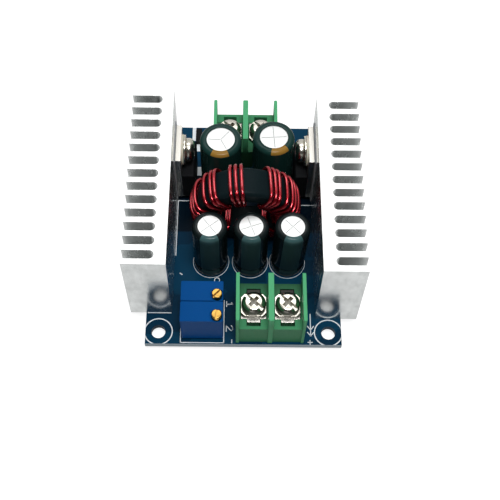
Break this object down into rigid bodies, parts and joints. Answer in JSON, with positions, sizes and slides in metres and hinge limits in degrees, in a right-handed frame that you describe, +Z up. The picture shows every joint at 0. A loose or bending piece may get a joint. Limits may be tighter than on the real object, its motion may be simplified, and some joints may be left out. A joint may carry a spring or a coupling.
{
  "type": "buck-boost converter module",
  "caption": "Circuit board module between two finned heatsinks, with an upright toroidal coil, round capacitors, multi-turn trimmers and barrier screw terminals.",
  "frame": {"origin": "centre of the four mounting holes, on the circuit board's underside", "axes": "+Z up through the board to the parts, +Y along the board's length from the output terminal to the input terminal, +X to the right as seen from the output terminal's wires"},
  "size_m": [0.0522, 0.06, 0.0284],
  "materials": {
    "board": "satin",
    "heatsink": "satin",
    "tinned_steel": "satin",
    "tinned_copper": "satin",
    "black_epoxy": "matte",
    "pad": "matte",
    "bush": "matte",
    "screw_steel": "gloss",
    "terminal_green": "satin",
    "trimmer_blue": "satin",
    "brass": "satin",
    "core_coating": "satin",
    "wire_enamel": "gloss",
    "can_aluminium": "satin",
    "sleeve_green": "gloss",
    "sleeve_black": "gloss",
    "bung_rubber": "matte",
    "solder": "gloss"
  },
  "bodies": {
    "module": {"capacitor_bungs": "bung_rubber", "capacitor_leads": "tinned_copper", "chip_resistors": "black_epoxy", "circuit_board": "board", "coil_core": "core_coating", "coil_winding": "wire_enamel", "control_chip": "black_epoxy", "control_chip_leads": "tinned_copper", "front_trimmer_housing": "trimmer_blue", "heatsink_pins": "tinned_steel", "input_diode": "black_epoxy", "input_left_capacitor_can": "can_aluminium", "input_left_capacitor_sleeve": "sleeve_green", "input_left_contact": "tinned_copper", "input_right_capacitor_can": "can_aluminium", "input_right_capacitor_sleeve": "sleeve_green", "input_right_contact": "tinned_copper", "input_terminal_housing": "terminal_green", "left_heatsink": "heatsink", "left_insulating_pad": "pad", "left_transistor_body": "black_epoxy", "left_transistor_leads": "tinned_copper", "left_transistor_screw": "screw_steel", "left_transistor_tab": "tinned_copper", "output_left_capacitor_can": "can_aluminium", "output_left_capacitor_sleeve": "sleeve_black", "output_left_contact": "tinned_copper", "output_middle_capacitor_can": "can_aluminium", "output_middle_capacitor_sleeve": "sleeve_black", "output_right_capacitor_can": "can_aluminium", "output_right_capacitor_sleeve": "sleeve_black", "output_right_contact": "tinned_copper", "output_terminal_housing": "terminal_green", "rear_trimmer_housing": "trimmer_blue", "right_heatsink": "heatsink", "right_insulating_pad": "pad", "right_transistor_body": "black_epoxy", "right_transistor_leads": "tinned_copper", "right_transistor_screw": "screw_steel", "right_transistor_tab": "tinned_copper", "shunt_resistors": "black_epoxy", "solder_joints": "solder", "transistor_bushes": "bush", "transistor_washers": "screw_steel", "trimmer_pins": "tinned_copper"},
    "output_left_clamp": {"output_left_clamp": "screw_steel"},
    "output_left_screw": {"output_left_screw": "screw_steel"},
    "output_right_clamp": {"output_right_clamp": "screw_steel"},
    "output_right_screw": {"output_right_screw": "screw_steel"},
    "input_left_clamp": {"input_left_clamp": "screw_steel"},
    "input_left_screw": {"input_left_screw": "screw_steel"},
    "input_right_clamp": {"input_right_clamp": "screw_steel"},
    "input_right_screw": {"input_right_screw": "screw_steel"},
    "front_trimmer_screw": {"front_trimmer_screw": "brass"},
    "rear_trimmer_screw": {"rear_trimmer_screw": "brass"}
  },
  "joints": [
    {"name": "output_left_clamp_lift", "type": "slide", "parent": "module", "child": "output_left_clamp", "axis": [0, 0, 1], "range_m": [0, 0.003]},
    {"name": "output_left_screw_turn", "type": "hinge", "parent": "output_left_clamp", "child": "output_left_screw", "pos_m": [0.0022, -0.0237, 0.0106], "axis": [0, 0, 1], "range_deg": [0, 2160]},
    {"name": "output_right_clamp_lift", "type": "slide", "parent": "module", "child": "output_right_clamp", "axis": [0, 0, 1], "range_m": [0, 0.003]},
    {"name": "output_right_screw_turn", "type": "hinge", "parent": "output_right_clamp", "child": "output_right_screw", "pos_m": [0.0098, -0.0237, 0.0106], "axis": [0, 0, 1], "range_deg": [0, 2160]},
    {"name": "input_left_clamp_lift", "type": "slide", "parent": "module", "child": "input_left_clamp", "axis": [0, 0, 1], "range_m": [0, 0.003]},
    {"name": "input_left_screw_turn", "type": "hinge", "parent": "input_left_clamp", "child": "input_left_screw", "pos_m": [-0.00365, 0.02335, 0.0106], "axis": [0, 0, 1], "range_deg": [0, 2160]},
    {"name": "input_right_clamp_lift", "type": "slide", "parent": "module", "child": "input_right_clamp", "axis": [0, 0, 1], "range_m": [0, 0.003]},
    {"name": "input_right_screw_turn", "type": "hinge", "parent": "input_right_clamp", "child": "input_right_screw", "pos_m": [0.00395, 0.02335, 0.0106], "axis": [0, 0, 1], "range_deg": [0, 2160]},
    {"name": "front_trimmer_turn", "type": "hinge", "parent": "module", "child": "front_trimmer_screw", "pos_m": [-0.006, -0.02736, 0.0118], "axis": [0, 0, 1], "continuous": true},
    {"name": "rear_trimmer_turn", "type": "hinge", "parent": "module", "child": "rear_trimmer_screw", "pos_m": [-0.006, -0.02235, 0.0118], "axis": [0, 0, 1], "continuous": true}
  ],
  "couplings": [
    {"joint": "output_left_screw_turn", "follows": "output_left_clamp_lift", "rad_per_m": 12566},
    {"joint": "output_right_screw_turn", "follows": "output_right_clamp_lift", "rad_per_m": 12566},
    {"joint": "input_left_screw_turn", "follows": "input_left_clamp_lift", "rad_per_m": 12566},
    {"joint": "input_right_screw_turn", "follows": "input_right_clamp_lift", "rad_per_m": 12566}
  ]
}
